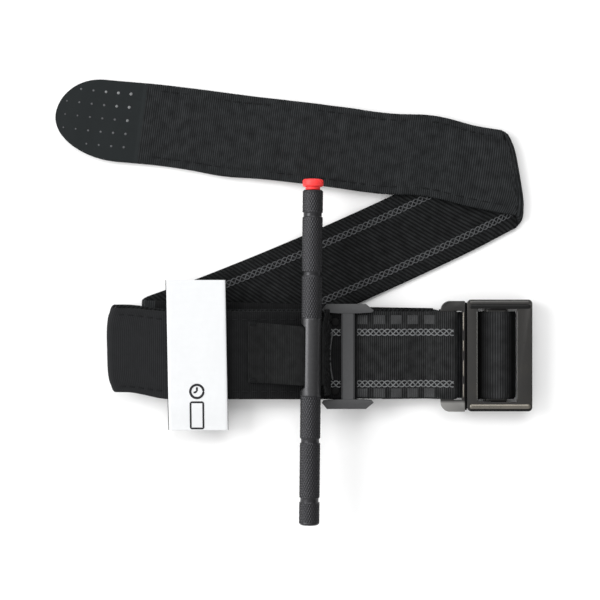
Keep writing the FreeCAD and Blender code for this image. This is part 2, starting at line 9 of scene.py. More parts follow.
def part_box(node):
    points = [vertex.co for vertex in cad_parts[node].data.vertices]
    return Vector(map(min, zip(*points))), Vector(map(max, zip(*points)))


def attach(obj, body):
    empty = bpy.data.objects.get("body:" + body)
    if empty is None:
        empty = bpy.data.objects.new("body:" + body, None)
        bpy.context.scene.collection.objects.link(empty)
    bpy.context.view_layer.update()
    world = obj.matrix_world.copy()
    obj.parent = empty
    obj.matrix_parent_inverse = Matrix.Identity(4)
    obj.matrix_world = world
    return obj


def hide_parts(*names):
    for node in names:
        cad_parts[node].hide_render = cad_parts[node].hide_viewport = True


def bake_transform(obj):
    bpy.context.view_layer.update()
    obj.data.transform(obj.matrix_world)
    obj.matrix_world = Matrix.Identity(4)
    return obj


# Looks for the windlass tourniquet. Lengths here are in millimetres in the model's frame, and
# meshes are made in metres. Each strap is a closed ribbon laid along its own path.

MM = 0.001
TURN = 2 * math.pi
ALONG_X = Vector((1, 0, 0))
ALONG_Y = Vector((0, 1, 0))
UP = Vector((0, 0, 1))
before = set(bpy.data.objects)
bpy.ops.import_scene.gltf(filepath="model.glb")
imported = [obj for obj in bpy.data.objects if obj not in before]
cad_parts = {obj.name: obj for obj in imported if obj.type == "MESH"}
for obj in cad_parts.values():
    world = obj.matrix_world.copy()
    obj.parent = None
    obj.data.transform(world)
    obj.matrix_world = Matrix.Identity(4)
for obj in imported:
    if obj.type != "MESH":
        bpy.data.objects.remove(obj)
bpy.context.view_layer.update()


def span(node):
    """Lowest and highest corner of a CAD node, in millimetres."""
    low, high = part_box(node)
    return low / MM, high / MM


def mix(a, b, t):
    return a + (b - a) * t


def smooth(t):
    t = min(max(t, 0.0), 1.0)
    return t * t * (3 - 2 * t)


def steps(start, end, pitch):
    """Values from start to end, both included, about pitch apart."""
    count = max(1, round(abs(end - start) / pitch))
    return [mix(start, end, k / count) for k in range(count + 1)]


# ---- materials ----
def new_material(name, colour, roughness, metallic=0.0, specular=0.5):
    material = bpy.data.materials.new(name)
    material.use_nodes = True
    shader = material.node_tree.nodes["Principled BSDF"]
    shader.inputs["Base Color"].default_value = (*colour, 1)
    shader.inputs["Roughness"].default_value = roughness
    shader.inputs["Metallic"].default_value = metallic
    shader.inputs["Specular IOR Level"].default_value = specular
    return material, material.node_tree, shader


def math_node(tree, operation, first, second):
    node = tree.nodes.new("ShaderNodeMath")
    node.operation = operation
    for socket, given in zip(node.inputs, (first, second)):
        if isinstance(given, (int, float)):
            socket.default_value = given
        else:
            tree.links.new(given, socket)
    return node.outputs[0]


def bands(tree, source, pitch, degrees):
    """Sine bands across the weave coordinate, one per pitch millimetres."""
    turned = tree.nodes.new("ShaderNodeMapping")
    turned.inputs["Rotation"].default_value[2] = math.radians(degrees)
    tree.links.new(source, turned.inputs["Vector"])
    wave = tree.nodes.new("ShaderNodeTexWave")
    wave.inputs["Scale"].default_value = math.pi / 10 / (pitch * MM)
    tree.links.new(turned.outputs[0], wave.inputs["Vector"])
    return wave.outputs["Fac"]


def speckle(tree, source, scale, detail=4.0):
    grain = tree.nodes.new("ShaderNodeTexNoise")
    grain.inputs["Scale"].default_value = scale
    grain.inputs["Detail"].default_value = detail
    tree.links.new(source, grain.inputs["Vector"])
    return grain.outputs["Fac"]


def tint(tree, shader, factor, dark, light):
    ramp = tree.nodes.new("ShaderNodeMix")
    ramp.data_type = "RGBA"
    ramp.inputs[6].default_value = (*dark, 1)
    ramp.inputs[7].default_value = (*light, 1)
    tree.links.new(factor, ramp.inputs[0])
    tree.links.new(ramp.outputs[2], shader.inputs["Base Color"])


def bump(tree, shader, height, strength, distance):
    node = tree.nodes.new("ShaderNodeBump")
    node.inputs["Strength"].default_value = strength
    node.inputs["Distance"].default_value = distance * MM
    tree.links.new(height, node.inputs["Height"])
    tree.links.new(node.outputs[0], shader.inputs["Normal"])


# painted shade on the sides of a rolled weave: how it falls off, how much it darkens and the least
# brightness it leaves
ROLL_SHADE_POWER, ROLL_PAINTED_SHADE, ROLL_SHADE_LIMIT = 1.2, 1.25, 0.05


def woven(name, colour, rib, yarn, slant=0.0, contrast=0.35, roughness=0.85, rolled=0.0):
    """Woven tape: ribs or twill along it, yarns across, and a little uneven dye. Where it is
    rolled, with that many millimetres of weave to a radian, its sides are darkened as painted shade."""
    material, tree, shader = new_material(name, colour, roughness, specular=0.08)
    weave = tree.nodes.new("ShaderNodeUVMap")
    weave.uv_map = "weave"
    along = bands(tree, weave.outputs[0], rib, slant)
    across = bands(tree, weave.outputs[0], yarn, 90)
    threads = math_node(tree, "MULTIPLY", along, math_node(tree, "ADD", across, 0.6))
    uneven = speckle(tree, weave.outputs[0], 260)
    factor = math_node(tree, "MULTIPLY", math_node(tree, "ADD", threads, 0.25), uneven)
    dark = [c * (1 - contrast) for c in colour]
    light = [c * (1 + 1.6 * contrast) for c in colour]
    tint(tree, shader, factor, dark, light)
    # painted shade: darker the more the weave faces sideways
    if rolled:
        split = tree.nodes.new("ShaderNodeSeparateXYZ")
        tree.links.new(weave.outputs[0], split.inputs[0])
        turn = math_node(tree, "DIVIDE", split.outputs[0], rolled * MM)
        shade_share = math_node(tree, "ABSOLUTE", math_node(tree, "COSINE", turn, 0), 0)
        shade_share = math_node(tree, "POWER", shade_share, ROLL_SHADE_POWER)
        level = math_node(tree, "MULTIPLY", shade_share, ROLL_PAINTED_SHADE)
        level = math_node(tree, "SUBTRACT", 1.0, level)
        level = math_node(tree, "MAXIMUM", level, ROLL_SHADE_LIMIT)
        shade = tree.nodes.new("ShaderNodeVectorMath")
        shade.operation = "SCALE"
        tree.links.new(shader.inputs["Base Color"].links[0].from_socket, shade.inputs[0])
        tree.links.new(level, shade.inputs["Scale"])
        tree.links.new(shade.outputs[0], shader.inputs["Base Color"])
    bump(tree, shader, threads, 0.5, 0.12)
    return material


def coated(
    name, colour, roughness, metallic, grain=900, depth=0.02, wear_and_highlight=None, specular=0.4, highlight_span=None
):
    """Hard surface with fine grain, and with patches of the lighter wear colour if given. The last
    argument, if given, is two places across the strap, between which the colour turns evenly into
    that lighter one instead: a painted highlight."""
    material, tree, shader = new_material(name, colour, roughness, metallic, specular)
    place = tree.nodes.new("ShaderNodeTexCoord").outputs["Object"]
    fine = speckle(tree, place, grain)
    light = wear_and_highlight if wear_and_highlight else [c * 1.5 for c in colour]
    factor = fine
    # painted highlight: between two places the colour fades evenly into the lighter one
    if highlight_span:
        split = tree.nodes.new("ShaderNodeSeparateXYZ")
        tree.links.new(place, split.inputs[0])
        fade = tree.nodes.new("ShaderNodeMapRange")
        fade.inputs["From Min"].default_value = highlight_span[0] * MM
        fade.inputs["From Max"].default_value = highlight_span[1] * MM
        tree.links.new(split.outputs[1], fade.inputs["Value"])
        factor = fade.outputs[0]
    elif wear_and_highlight:
        factor = math_node(tree, "POWER", speckle(tree, place, grain / 8, 2.0), 3.0)
    tint(tree, shader, factor, colour, light)
    rough = math_node(tree, "ADD", math_node(tree, "MULTIPLY", fine, 0.2), roughness - 0.1)
    tree.links.new(rough, shader.inputs["Roughness"])
    bump(tree, shader, fine, 0.3, depth)
    return material


RIBBED = woven("ribbed_webbing", (0.0160, 0.0171, 0.0179), 0.9, 0.5, contrast=0.8)
TWILL = woven("twill_webbing", (0.0082, 0.0087, 0.0090), 1.5, 0.6, slant=35, contrast=0.95)
COVER = woven("cover_tape", (0.0075, 0.0077, 0.0081), 0.8, 0.4, contrast=0.5)
COVER_LIT = woven("cover_tape_smooth_painted_highlight", (0.0165, 0.0170, 0.0180), 0.8, 0.4, contrast=0.2)
GRIP = woven("grip_webbing_weave", (0.0175, 0.0180, 0.0184), 0.86, 0.43, contrast=0.95)
BAND = woven("band_tape", (0.0098, 0.0101, 0.0103), 0.86, 0.4, contrast=0.7)
# the webbing round the slide bar, with painted shade darkening its sides
SIDE_SHADED_LOOP = woven("bar_webbing_weave_painted_side_shade", (0.0225, 0.0230, 0.0238), 0.9, 0.45, contrast=0.6, rolled=7.0)
HOOK_TAPE = woven("backing_tape", (0.015, 0.015, 0.016), 1.2, 1.2, slant=45)
BLACK_THREAD = woven("black_thread", (0.0135, 0.0140, 0.0148), 0.5, 0.3)
GREY_THREAD = woven("grey_thread", (0.150, 0.154, 0.157), 0.6, 0.3, contrast=0.3)
TAB_THREAD = woven("tab_thread", (0.046, 0.047, 0.048), 0.86, 0.4, contrast=0.4)
SLATE_THREAD = woven("slate_thread", (0.070, 0.072, 0.075), 0.6, 0.3, contrast=0.3)
WHITE_TAPE = woven("white_tape", (0.72, 0.73, 0.74), 0.5, 0.5, contrast=0.03, roughness=0.7)
PRESSED = coated(
    "pressed_webbing", (0.0102, 0.0121, 0.0127), 0.7, 0.0, grain=350, depth=0.05, specular=0.1
)
INK = coated("label_ink", (0.02, 0.02, 0.022), 0.7, 0.0, specular=0.1)
ROD = coated("anodised_rod", (0.030, 0.030, 0.032), 0.34, 0.85)
ROD_PLAIN_LIT = coated("anodised_rod_plain_painted_highlight", (0.050, 0.050, 0.052), 0.34, 0.85)
CAP = coated("red_cap", (0.75, 0.034, 0.034), 0.45, 0.0, grain=500)
KEEPER = coated("keeper_plastic", (0.038, 0.0385, 0.040), 0.5, 0.0)
RIVET = coated("black_rivet", (0.003, 0.003, 0.003), 0.45, 0.0, specular=0.08)
STEEL = coated("coated_steel", (0.045, 0.044, 0.043), 0.32, 0.85, wear_and_highlight=(0.062, 0.058, 0.052))
# painted highlight on the hook plate's lower arm: its colour turns into this light one between these
# two places
HOOK_HIGHLIGHT_SPAN = (-43.4, -44.6)
HOOK_HIGHLIGHT = (0.29, 0.285, 0.275)
HOOK_STEEL = coated(
    "coated_hook_steel_painted_highlight", (0.043, 0.042, 0.041), 0.32, 0.85, wear_and_highlight=HOOK_HIGHLIGHT, highlight_span=HOOK_HIGHLIGHT_SPAN
)
# lighter copies of the steel for painted highlights (rims, window edges, lip teeth) and darker
# copies for painted shade (slanted faces, the hook's fold)
RIM_HIGHLIGHT = coated("rolled_rim_painted_highlight", (0.075, 0.074, 0.072), 0.3, 0.9, wear_and_highlight=(0.11, 0.105, 0.095))
HIGHLIGHT_STEEL = coated("painted_highlight_steel", (0.17, 0.158, 0.138), 0.3, 0.9, wear_and_highlight=(0.26, 0.24, 0.20))
SHADED_STEEL = coated("painted_shade_steel", (0.015, 0.015, 0.015), 0.4, 0.85, specular=0.2)
SHADE = coated("hook_fold_painted_shade", (0.010, 0.010, 0.010), 0.5, 0.6, specular=0.1)
INNER = coated("inner_sheet", (0.05, 0.05, 0.05), 0.5, 0.0)


# ---- mesh building ----
class Shell:
    """Closed meshes in millimetres, with a weave coordinate at each corner."""

    def __init__(self):
        self.points = []
        self.weave = []
        self.faces = []
        self.sides = []

    def rings(self, rings, side_of=None):
        """Joins rings of (point, weave) pairs into a tube with closed ends."""
        base = len(self.points)
        count = len(rings[0])
        for ring in rings:
            for point, weave in ring:
                self.points.append(point * MM)
                self.weave.append((weave[0] * MM, weave[1] * MM))
        for k in range(len(rings) - 1):
            low = base + k * count
            for i in range(count):
                j = (i + 1) % count
                self.faces.append((low + i, low + j, low + count + j, low + count + i))
                self.sides.append(side_of(k, i) if side_of else 0)
        last = base + (len(rings) - 1) * count
        self.faces.append(tuple(range(base + count - 1, base - 1, -1)))
        self.faces.append(tuple(range(last, last + count)))
        self.sides += [0, 0]

    def tube(self, line, radius, corners, flat=1.0):
        """A round thread along a line of points."""
        rings = []
        run = 0.0
        for k, point in enumerate(line):
            before = line[max(k - 1, 0)]
            after = line[min(k + 1, len(line) - 1)]
            along = (after - before).normalized()
            side = along.cross(UP if abs(along.z) < 0.95 else ALONG_X).normalized()
            rise = side.cross(along)
            run += (point - before).length
            end = 0.55 if k in (0, len(line) - 1) else 1.0
            ring = []
            for corner in range(corners):
                turn = TURN * corner / corners
                off = side * math.cos(turn) * radius + rise * math.sin(turn) * radius * flat
                ring.append((point + off * end, (run, corner * radius)))
            rings.append(ring)
        self.rings(rings)

    def build(self, name, materials, body=None, stands_for=(), blend=None):
        mesh = bpy.data.meshes.new(name)
        mesh.from_pydata(self.points, [], self.faces)
        layer = mesh.uv_layers.new(name="weave")
        for loop in mesh.loops:
            layer.data[loop.index].uv = self.weave[loop.vertex_index]
        for material in materials:
            mesh.materials.append(material)
        last = len(materials) - 1
        mesh.polygons.foreach_set("material_index", [min(s, last) for s in self.sides])
        mesh.polygons.foreach_set("use_smooth", [True] * len(self.faces))
        tidy = bmesh.new()
        tidy.from_mesh(mesh)
        bmesh.ops.recalc_face_normals(tidy, faces=tidy.faces)
        tidy.to_mesh(mesh)
        tidy.free()
        piece = bpy.data.objects.new(name, mesh)
        bpy.context.scene.collection.objects.link(piece)
        return finish_piece(piece, body, stands_for, blend)


def finish_piece(piece, body=None, stands_for=(), blend=None):
    if blend:
        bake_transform(piece)
    else:
        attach(piece, body)
    if stands_for:
        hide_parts(*stands_for)
    return piece


Row = namedtuple("Row", "centre side up slide lean bow half thick u")


def on_row(row, v, lift, facing=1):
    """The point v across a row, lift above the face on that side."""
    share = v / row.half if row.half else 0
    slid = row.lean * v + row.bow * (1 - share**4)
    rise = facing * (row.thick / 2 + lift)
    return row.centre + row.side * v + row.slide * slid + row.up * rise


def columns(half, pitch, lines=()):
    """Places across a strap: even ones, close ones at the edges, and some at each seam."""
    found = set(steps(-half + 1.5, half - 1.5, pitch))
    for line in lines:
        found -= {c for c in found if abs(c - line) < 0.8}
        found |= {line - 0.8, line - 0.3, line + 0.3, line + 0.8}
    for sign in (-1, 1):
        found |= {sign * (half - inset) for inset in (0, 0.2, 0.6)}
    return sorted(found)


def shoulder(distance):
    """How full the strap's thickness is at a distance inside its edge."""
    return 0.45 + 0.55 * math.sqrt(min(distance / 0.6, 1.0))


def ribbon(shell, rows, across, relief=None, plies=1):
    """Lays a closed strap along rows."""
    nominal = max(across)
    top = len(across)
    rings = []
    for row in rows:
        ring = []
        for facing in (1, -1):
            for c in across if facing > 0 else reversed(across):
                v = c * row.half / nominal
                lift = row.thick / 2 * (shoulder(nominal - abs(c)) - 1)
                u = row.u + row.lean * v
                if relief:
                    lift += relief(u, v, facing, row)
                ring.append((on_row(row, v, lift, facing), (u, v)))
            if plies == 2:
                seam = facing * (row.half - min(0.4, row.half / 2))
                ring.append((on_row(row, seam, -row.thick / 2), (row.u, seam)))
        rings.append(ring)
    gap = 1 if plies == 2 else 0
    shell.rings(rings, lambda k, i: 1 if top + gap <= i < 2 * top + gap - 1 else 0)


def wave(u, pitch, height):
    return -height * math.cos(TURN * u / pitch)


def uneven(u, v, seed, size=14.0):
    return noise.noise(Vector((u / size, v / size * 1.4, seed)))


def dip(v, line, depth, width=0.7):
    return -depth * math.exp(-(((abs(v) - line) / width) ** 2))


# ---- the straps' measures ----
PLY = 1.2
STRAP = 2.4
LEVEL = 2.7
cover_low, cover_high = span("loop_cover")
LOOP_Y = (cover_low.y + cover_high.y) / 2
LOOP_HALF = (cover_high.y - cover_low.y) / 2
FLOOR_MID = span("diagonal_run")[1].z / 2
SAG_START, SAG_END = 38.0, 58.0
LOW_CREASE = Vector((-59.6, -20.3, 0))
LOW_LEAN = 9.75
HIGH_CREASE = Vector((92.8, 54.4, 0))
HIGH_LEAN = 9.3
FOLD_MID = 1.35
LOW_HALF, HIGH_HALF = 19.0, 18.6
DIAGONAL_HALF, TAIL_HALF = 18.2, 17.45
DIAGONAL_START = Vector((-60.1, -17.6, 0))
DIAGONAL_END = Vector((93.5, 49.3, 0))
DIAGONAL_SAG = 2.55
LOW_BOW, HIGH_BOW = 0.6, 2.3
RETURN_YAW, TAIL_YAW = 179, 172.3
RETURN_RAISED = 1.0
TAIL_STRAIGHT = 168.0
TAIL_END = 197.2
TIP_UPPER, TIP_LOWER = 19.5, 29.5
TAIL_BOW = 0.7
PRESSED_FROM = 159.3
CREASE_REACH = 30.0

# soft bends of the tail: how much, where along it and over what length
TAIL_BULGES = ((2.2, 34, 15), (0.4, 76, 22))
TAIL_SPREAD = (0.5, 122, 12)
TIP_DRIFT, DRIFT_FROM, DRIFT_LONG = 1.0, 148, 35
TAIL_DOWN_FROM, TAIL_DOWN_LONG, TAIL_REST = 62, 75, 0.45

# how far along the weave each stretch of the long strap starts
LOW_U, HIGH_U, TAIL_U = 60, 236, 240


def flat_dir(degrees):
    return Vector((math.cos(math.radians(degrees)), math.sin(math.radians(degrees)), 0))


def sag(x):
    """How far the stack has come down at x."""
    return LEVEL * smooth((x - SAG_START) / (SAG_END - SAG_START))


# ---- the long strap: return run, low crease, diagonal run, high crease, tail ----
def lean_at(along, crease_degrees):
    """Slope of the crease against the rows square to the strap."""
    side = along.cross(UP) * -1
    crease = flat_dir(90 + crease_degrees)
    if crease.dot(side) < 0:
        crease = -crease
    return crease.dot(along) / crease.dot(side)


def crease_rows(crease, leaves_at, degrees, half, climb, u, bow):
    """Half a turn about a crease, shifting along it. climb is -1 going down and 1 going up."""
    line = flat_dir(90 + degrees)
    outward = line.cross(UP) * climb
    side = line * climb
    rows = []
    for turn in steps(0, 180, 15)[1:-1]:
        a = math.radians(turn)
        up = (outward * math.sin(a) - UP * climb * math.cos(a)).normalized()
        centre = crease.lerp(leaves_at, turn / 180) + outward * FOLD_MID * math.sin(a)
        centre.z = FLOOR_MID + FOLD_MID - climb * FOLD_MID * math.cos(a)
        rows.append(Row(centre, side, up, outward, 0.0, bow, half, STRAP, u + FOLD_MID * a))
    return rows


def return_row(x):
    along = flat_dir(RETURN_YAW)
    low_share = 1 - smooth((x - LOW_CREASE.x) / CREASE_REACH)
    lean = lean_at(along, LOW_LEAN)
    end_half = LOW_HALF / math.sqrt(1 + lean * lean)
    centre = LOW_CREASE - along * (x - LOW_CREASE.x)
    centre.y += RETURN_RAISED * (1 - smooth((x + 10) / 40))
    centre.z = FLOOR_MID + LEVEL - sag(x)
    half = mix(LOOP_HALF - 0.2, end_half, low_share)
    side = UP.cross(along)
    bow = LOW_BOW * low_share
    return Row(centre, side, UP, along, lean * low_share, bow, half, STRAP, -x)


def diagonal_row(t):
    chord = DIAGONAL_END - DIAGONAL_START
    left = UP.cross(chord).normalized()
    point = DIAGONAL_START + chord * t - left * 4 * DIAGONAL_SAG * t * (1 - t)
    along = (chord - left * 4 * DIAGONAL_SAG * (1 - 2 * t)).normalized()
    run = chord.length * t
    near = 1 - smooth(run / CREASE_REACH)
    far = 1 - smooth((chord.length - run) / CREASE_REACH)
    low_lean = lean_at(along, LOW_LEAN)
    high_lean = lean_at(along, HIGH_LEAN)
    half = DIAGONAL_HALF
    half = mix(half, LOW_HALF / math.sqrt(1 + low_lean**2), near)
    half = mix(half, HIGH_HALF / math.sqrt(1 + high_lean**2), far)
    point.z = FLOOR_MID
    side = UP.cross(along) * -1
    lean = -(low_lean * near + high_lean * far)
    bow = HIGH_BOW * far - LOW_BOW * near
    return Row(point, side, -UP, along, lean, bow, half, STRAP, 4 - LOW_CREASE.x + run)


def hump(s, at, reach):
    """1 at one place along a strap, falling smoothly to 0 on both sides."""
    return math.exp(-(((s - at) / reach) ** 2))


def tip_half(s, length):
    """Half width at s on one side of the round tip, which is length long on that side."""
    share = max(s - (TAIL_END - length), 0) / length
    return TAIL_HALF * math.sqrt(max(1 - share * share, 0.0006))


def tail_row(s):
    along = flat_dir(TAIL_YAW)
    share = s / TAIL_END
    side = UP.cross(along)
    sway = 4 * TAIL_BOW * share * (1 - share)
    for size, at, reach in TAIL_BULGES:
        sway += size * hump(s, at, reach)
    sway -= TIP_DRIFT * smooth((s - DRIFT_FROM) / DRIFT_LONG)
    size, at, reach = TAIL_SPREAD
    spread = size * hump(s, at, reach)
    near = 1 - smooth(s / CREASE_REACH)
    lean = lean_at(along, HIGH_LEAN)
    upper, lower = tip_half(s, TIP_UPPER), tip_half(s, TIP_LOWER) + 2 * spread
    half = mix((upper + lower) / 2, HIGH_HALF / math.sqrt(1 + lean * lean), near)
    point = HIGH_CREASE + along * s + side * ((lower - upper) / 2 - sway)
    down = smooth((s - TAIL_DOWN_FROM) / TAIL_DOWN_LONG)
    point.z = FLOOR_MID + LEVEL - (LEVEL - TAIL_REST) * down
    thick = STRAP - 0.5 * smooth((s - PRESSED_FROM) / 2)
    return Row(point, side, UP, along, lean * near, -HIGH_BOW * near, half, thick, TAIL_U + s)


TAIL_SEAMS = (14.1, 14.6)
INNER_SEAM = 16.0
TRACER_AT = 11.2
PRESSED_U = TAIL_U + PRESSED_FROM
RETURN_SHADE_TO = 59.0
SWELL_FROM, SWELL_LONG, SWELL = TAIL_U + 6, 12, 0.9


def long_relief(u, v, facing, row):
    """Outer face ribbed with sewn edges, inner face twill between two tracers."""
    gentle = 0.1 * uneven(u, v, 3.0)
    if facing > 0 and u > TAIL_U:
        swell = SWELL * smooth((u - SWELL_FROM) / SWELL_LONG)
        gentle += swell * noise.noise(Vector((u / 12, v / 50, 9.0)))
    if u > PRESSED_U:
        return gentle * 0.5
    if facing > 0:
        sewn = dip(v, TAIL_SEAMS[1 if v > 0 else 0], 0.16)
        edge = 0.16 * uneven(u, v, 7.0, 3.2) * smooth((abs(v) - 13) / 3)
        return gentle + sewn + edge + wave(u, 0.9, 0.05)
    between = abs(v) < TRACER_AT - 1.5
    inner = wave(u + 0.7 * v, 1.5, 0.045) if between else wave(u, 0.9, 0.05)
    groove = dip(v, TRACER_AT + 1.9, 0.1, 0.5) + dip(v, TRACER_AT - 1.9, 0.1, 0.5)
    return gentle + inner + groove + dip(v, INNER_SEAM, 0.12)


chord_length = (DIAGONAL_END - DIAGONAL_START).length
return_rows = [return_row(x) for x in steps(60, LOW_CREASE.x, 1.6)]
low_from = return_row(LOW_CREASE.x).centre
low_rows = crease_rows(low_from, DIAGONAL_START, LOW_LEAN, LOW_HALF, -1, LOW_U, LOW_BOW)
diagonal_rows = [diagonal_row(t) for t in steps(0, 1, 0.34 / chord_length)]
high_rows = crease_rows(DIAGONAL_END, HIGH_CREASE, HIGH_LEAN, HIGH_HALF, 1, HIGH_U, HIGH_BOW)
tail_rows = [tail_row(s) for s in steps(0, TAIL_STRAIGHT, 0.225)]
tip_long = TAIL_END - TAIL_STRAIGHT
tail_rows += [tail_row(TAIL_STRAIGHT + tip_long * math.sin(a)) for a in steps(0.01, 1.56, 0.02)]

long_strap = Shell()
long_across = columns(LOOP_HALF, 1.7, (-14.8, 14.8, -11, 11))
all_rows = return_rows + low_rows + diagonal_rows + high_rows + tail_rows
ribbon(long_strap, all_rows, long_across, long_relief, plies=2)
for index, face in enumerate(long_strap.faces):
    u = long_strap.weave[face[0]][0]
    if u > PRESSED_U * MM:
        long_strap.sides[index] = 2
    # the return run takes the darker cover tape, as painted shade
    elif u < RETURN_SHADE_TO * MM:
        long_strap.sides[index] = 3
long_strap.build(
    "long_strap",
    [RIBBED, TWILL, PRESSED, COVER],
    "strap",
    ("return_run", "left_fold_lower", "diagonal_run", "right_fold", "tail_run", "tail_tip"),
)


def dashes(shell, row_at, start, end, v, dash, gap, radius, lift, facing=1):
    """A sewn seam: one raised thread per stitch, its ends sunk into the strap."""
    s = start
    while s + dash < end:
        line = []
        for k in range(6):
            part = k / 5
            height = lift + radius * (1.3 * math.sin(math.pi * part) - 0.6)
            line.append(on_row(row_at(s + dash * part), v, height, facing))
        shell.tube(line, radius, 6)
        s += dash + gap


TRACER_WIDTH, TRACER_RADIUS, TRACER_PITCH = 1.3, 0.28, 7.2


def tracer(shell, row_at, start, end, v, pace, facing=1):
    """Three threads that weave over each other along the strap."""
    for strand in range(3):
        line = []
        for s in steps(start, end, pace):
            turn = TURN * (s / TRACER_PITCH + strand / 3)
            lift = TRACER_RADIUS * (0.35 + 0.8 * math.sin(2 * turn + TURN * strand / 3))
            line.append(on_row(row_at(s), v + TRACER_WIDTH * math.sin(turn), lift, facing))
        shell.tube(line, TRACER_RADIUS, 6, 0.8)


seams = Shell()
for v in (TAIL_SEAMS[0], -TAIL_SEAMS[1]):
    dashes(seams, tail_row, 6, PRESSED_FROM - 2, v, 3.2, 1.3, 0.2, -0.1)


def diagonal_at(s):
    return diagonal_row(s / chord_length)


for v in (-INNER_SEAM, INNER_SEAM):
    dashes(seams, diagonal_at, 12, chord_length - 10, v, 2.4, 1.2, 0.16, -0.08, -1)
seams.build("long_strap_seams", [BLACK_THREAD], "strap")

diagonal_tracers = Shell()
for v in (-TRACER_AT, TRACER_AT):
    tracer(diagonal_tracers, diagonal_at, 12, chord_length - 2.5, v, 0.45, -1)
diagonal_tracers.build("diagonal_tracers", [SLATE_THREAD], "strap")

dots = Shell()
DOT_FROM = 166.0
DOT_STEP, DOT_LINE = 5.4, 5.8
DOT_COLUMNS, DOT_LINES, DOT_MIDDLE, DOT_MARGIN = 6, 5, 2.1, 2.2
for column in range(DOT_COLUMNS):
    for line in range(DOT_LINES):
        s = DOT_FROM + column * DOT_STEP
        v = (line - DOT_MIDDLE) * DOT_LINE
        upper, lower = tip_half(s, TIP_UPPER), tip_half(s, TIP_LOWER)
        if v < DOT_MARGIN - upper or v > lower - DOT_MARGIN:
            continue
        size = 0.72 - 0.05 * column - 0.03 * line
        rings = []
        for level in (0.0, 0.5, 0.85, 0.98):
            radius = size * math.sqrt(1 - level * level)
            ring = []
            for corner in range(10):
                turn = TURN * corner / 10
                row = tail_row(s + radius * math.cos(turn))
                across = v + radius * math.sin(turn) - (lower - upper) / 2
                lift = 0.24 * level - 0.03 + long_relief(row.u, across, 1, row)
                ring.append((on_row(row, across, lift), (s, v)))
            rings.append(ring)
        dots.rings(rings, lambda k, i: 1 if column + line > 2 else 0)
dots.build("pressed_dots", [GREY_THREAD, SLATE_THREAD], "strap")


# ---- the limb loop: outer cover ply and inner webbing ply, folded at the left ----
FOLD_X = -76.5
FOLD_Z = 7.95
LEFT_FROM, LEFT_LONG = -52, 22
BOW = 2.3
SWAY = 2.1
LEFT_NARROWER, LEFT_SHORTER, LEFT_LEAN = 0.9, 1.6, 0.02
UNDER_SHIFT, UNDER_SWAY = 1.0, 0.8
PLY_THICK = PLY - 0.06
COVER_SEAM = 15.3


def left_share(x):
    """0 on most of the loop, and 1 at its left fold."""
    return smooth((LEFT_FROM - x) / LEFT_LONG)


def loop_rows(path):
    """Rows along a path of (x, z) points; the left end bows out and sways a little, and the
    under run lies a little to one side of the top run."""
    rows = []
    run = 0.0
    for k, (x, z) in enumerate(path):
        before = Vector(path[max(k - 1, 0)])
        after = Vector(path[min(k + 1, len(path) - 1)])
        along = (after - before).normalized()
        up = Vector((-along.y, 0, along.x)) * -1
        run += (Vector((x, z)) - before).length
        left = left_share(x)
        under = smooth((FOLD_Z + 1.5 - z) / 3) if x < SAG_START else float(up.z < 0)
        shift = SWAY * left + under * (UNDER_SHIFT + UNDER_SWAY * left)
        centre = Vector((x + LEFT_SHORTER * left, LOOP_Y + shift, z))
        lean, bow = LEFT_LEAN * left, BOW * left
        half = LOOP_HALF - LEFT_NARROWER * left
        rows.append(Row(centre, ALONG_Y, up, -ALONG_X, lean, bow, half, PLY_THICK, run))
    return rows


def fold_path(radius):
    """Half a turn from the top run down to the under run."""
    path = []
    for turn in steps(0, 180, 12)[1:-1]:
        a = math.radians(turn)
        path.append((FOLD_X - radius * math.sin(a), FOLD_Z + radius * math.cos(a)))
    return path


def cover_relief(u, v, facing, row):
    sewn = dip(v, COVER_SEAM, 0.14)
    return 0.1 * uneven(u, v, 11.0) + sewn + wave(u, 0.8, 0.05) if facing > 0 else 0.0


COVER_MID = (cover_low.z + cover_high.z) / 2
GRIP_MID = COVER_MID - PLY
cover_end = cover_high.x
UNDER_END = 60
outer = COVER_MID - FOLD_Z
inner = GRIP_MID - FOLD_Z
cover_path = [(x, COVER_MID) for x in steps(cover_end, FOLD_X, 0.2)]
cover_path += fold_path(outer)
cover_path += [(x, FOLD_Z - outer - sag(x)) for x in steps(FOLD_X, UNDER_END, 1.2)]
cover = Shell()
cover_across = columns(LOOP_HALF, 1.9, (-COVER_SEAM, COVER_SEAM))
ribbon(cover, loop_rows(cover_path), cover_across, cover_relief)
# near its left end the cover's top face takes a lighter, smoother copy of the tape: the smoother
# weave is the tape's own, the lighter colour a painted highlight where it bulges
LIT_U, LIT_LONG = cover_end + 45, 60
for index, face in enumerate(cover.faces):
    u = cover.weave[face[0]][0]
    if LIT_U * MM < u < (LIT_U + LIT_LONG) * MM and cover.sides[index] == 0:
        cover.sides[index] = 2
cover.build(
    "loop_cover_ply",
    [COVER, RIBBED, COVER_LIT],
    "strap",
    ("loop_cover", "left_fold_outer"),
)

# the webbing ply climbs over the hook plate's bar and turns back under it
hook_low, hook_high = span("hook_plate")
CLIMB_FROM = 56.0
bar_left = hook_low.x
bar_right = 68.7
bar_mid = hook_high.z - 0.8
around = 0.8 + 0.3 + PLY / 2


def grip_height(x):
    climb = smooth((x - CLIMB_FROM) / (bar_left + 1.4 - CLIMB_FROM))
    z = mix(GRIP_MID - sag(x), bar_mid + around, climb)
    over = x - (bar_right - 1.0)
    if over > 0:
        z = bar_mid + math.sqrt(max(around**2 - over**2, 0.01))
    return z


